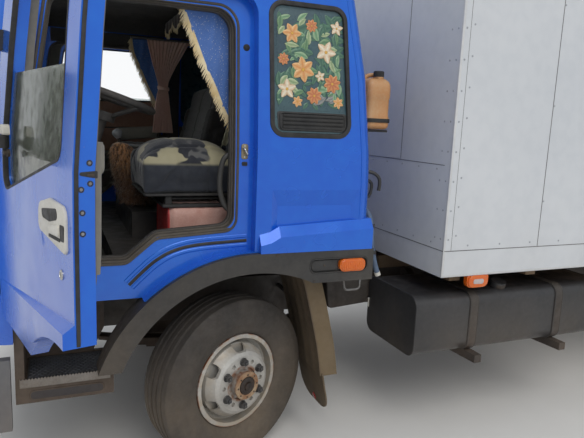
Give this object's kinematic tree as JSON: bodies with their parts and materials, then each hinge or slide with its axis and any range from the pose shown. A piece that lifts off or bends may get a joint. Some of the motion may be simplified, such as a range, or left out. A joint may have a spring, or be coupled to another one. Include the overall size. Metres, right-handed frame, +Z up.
{
  "type": "decorated cab-over box truck",
  "caption": "Cab-over box truck with a tilting sleeper cab, opening doors, steered front wheels, twin rear wheels and a hollow load box.",
  "frame": {"origin": "on the ground under the middle of the bounding box", "axes": "+X forward, +Y to the truck's left, +Z up"},
  "size_m": [8.1677, 3.4157, 3.15],
  "materials": {
    "cab_paint": "metallic gloss",
    "interior_trim": "matte",
    "dark_plastic": "matte",
    "window_glass": "clear",
    "picture_panel": "gloss",
    "lamp_glass": "clear",
    "amber_lamp": "gloss",
    "marker_lamp": "gloss",
    "step_metal": "satin",
    "bumper_paint": "satin",
    "chassis_black": "satin",
    "cast_dark": "rough",
    "tank_black": "satin",
    "box_panel": "satin",
    "box_floor_wood": "rough",
    "box_steel": "satin",
    "wheel_paint": "satin",
    "tyre_rubber": "matte",
    "mud_rubber": "matte",
    "seat_cloth": "woven",
    "bunk_cloth": "woven",
    "curtain_cloth": "woven",
    "can_plastic": "semi-gloss",
    "gaiter_leather": "matte",
    "mirror_housing": "matte"
  },
  "bodies": {
    "chassis": {"frame": "chassis_black", "front_bumper": "bumper_paint", "headlamps": "lamp_glass", "engine_block": "cast_dark", "driveline": "cast_dark", "front_axle_beam": "chassis_black", "leaf_springs": "cast_dark", "rear_axle": "cast_dark", "fuel_tank": "tank_black", "tank_straps": "chassis_black", "battery_box": "dark_plastic", "silencer": "cast_dark", "mudguards": "mud_rubber", "box_floor": "box_floor_wood", "box_front_wall": "box_panel", "box_left_wall": "box_panel", "box_right_wall": "box_panel", "box_roof": "box_panel", "box_rear_frame": "box_steel", "marker_lamps": "marker_lamp"},
    "cab": {"cab_left_side": "cab_paint", "cab_right_side": "cab_paint", "cab_front_panel": "cab_paint", "cab_roof": "cab_paint", "cab_rear_wall": "cab_paint", "windscreen": "window_glass", "quarter_windows": "picture_panel", "arch_trims": "dark_plastic", "cab_side_lamps": "amber_lamp", "cab_floor": "chassis_black", "cab_steps": "step_metal", "dashboard": "interior_trim", "driver_seat": "seat_cloth", "passenger_seat": "seat_cloth", "bunk": "bunk_cloth", "gear_lever": "gaiter_leather", "curtains": "curtain_cloth", "jerrycan": "can_plastic"},
    "steering": {"steering_wheel": "interior_trim"},
    "door_left": {"left_door": "cab_paint", "left_door_trim": "interior_trim", "left_door_glass": "window_glass", "left_mirror": "mirror_housing"},
    "door_right": {"right_door": "cab_paint", "right_door_trim": "interior_trim", "right_door_glass": "window_glass", "right_mirror": "mirror_housing"},
    "knuckle_left": {"left_knuckle": "cast_dark"},
    "knuckle_right": {"right_knuckle": "cast_dark"},
    "steering_link": {"tie_rod": "chassis_black"},
    "wheel_front_left": {"front_left_wheel": "wheel_paint", "front_left_tyre": "tyre_rubber"},
    "wheel_front_right": {"front_right_wheel": "wheel_paint", "front_right_tyre": "tyre_rubber"},
    "wheels_rear_left": {"rear_left_wheels": "wheel_paint", "rear_left_tyres": "tyre_rubber"},
    "wheels_rear_right": {"rear_right_wheels": "wheel_paint", "rear_right_tyres": "tyre_rubber"},
    "box_door_left": {"rear_left_door": "box_panel"},
    "box_door_right": {"rear_right_door": "box_panel"}
  },
  "joints": [
    {"name": "cab_tilt", "type": "hinge", "parent": "chassis", "child": "cab", "pos_m": [3.8072, -0.3179, 0.74], "axis": [0, 1, 0], "range_deg": [0, 45]},
    {"name": "left_door_swing", "type": "hinge", "parent": "cab", "child": "door_left", "pos_m": [3.6922, 0.7151, 1.1775], "axis": [0, 0, 1], "range_deg": [0, 75.7]},
    {"name": "right_door_swing", "type": "hinge", "parent": "cab", "child": "door_right", "pos_m": [3.6922, -1.3509, 1.1775], "axis": [0, 0, 1], "range_deg": [0, 75.7]},
    {"name": "left_steer", "type": "hinge", "parent": "chassis", "child": "knuckle_left", "pos_m": [2.7572, 0.4421, 0.418], "axis": [0, 0, 1], "range_deg": [-58.5, 17.5]},
    {"name": "right_steer", "type": "hinge", "parent": "chassis", "child": "knuckle_right", "pos_m": [2.7572, -1.0779, 0.418], "axis": [0, 0, 1], "range_deg": [-58.5, 17.5]},
    {"name": "tie_rod_pivot", "type": "hinge", "parent": "knuckle_left", "child": "steering_link", "pos_m": [2.6167, 0.38957, 0.381], "axis": [0, 0, 1], "range_deg": [-17.5, 58.5]},
    {"name": "steering_wheel_turn", "type": "hinge", "parent": "cab", "child": "steering", "pos_m": [3.2622, 0.2321, 1.775], "axis": [-0.3039, 0, 0.9527], "range_deg": [-1060, 320]},
    {"name": "front_left_spin", "type": "hinge", "parent": "knuckle_left", "child": "wheel_front_left", "pos_m": [2.72568, 0.5264, 0.418], "axis": [-0.3502, 0.9367, 0], "continuous": true},
    {"name": "front_right_spin", "type": "hinge", "parent": "knuckle_right", "child": "wheel_front_right", "pos_m": [2.78872, -1.1622, 0.418], "axis": [-0.3502, 0.9367, 0], "continuous": true},
    {"name": "rear_left_spin", "type": "hinge", "parent": "chassis", "child": "wheels_rear_left", "pos_m": [-1.4928, 0.5121, 0.418], "axis": [0, 1, 0], "continuous": true},
    {"name": "rear_right_spin", "type": "hinge", "parent": "chassis", "child": "wheels_rear_right", "pos_m": [-1.4928, -1.1479, 0.418], "axis": [0, 1, 0], "continuous": true},
    {"name": "left_box_door_swing", "type": "hinge", "parent": "chassis", "child": "box_door_left", "pos_m": [-4.0628, 0.8721, 2.06], "axis": [0, 0, -1], "range_deg": [0, 270]},
    {"name": "right_box_door_swing", "type": "hinge", "parent": "chassis", "child": "box_door_right", "pos_m": [-4.0628, -1.5079, 2.06], "axis": [0, 0, 1], "range_deg": [0, 270]}
  ],
  "couplings": [
    {"joint": "right_steer", "follows": "left_steer", "ratio": 1},
    {"joint": "tie_rod_pivot", "follows": "left_steer", "ratio": -1},
    {"joint": "steering_wheel_turn", "follows": "left_steer", "ratio": 18}
  ]
}
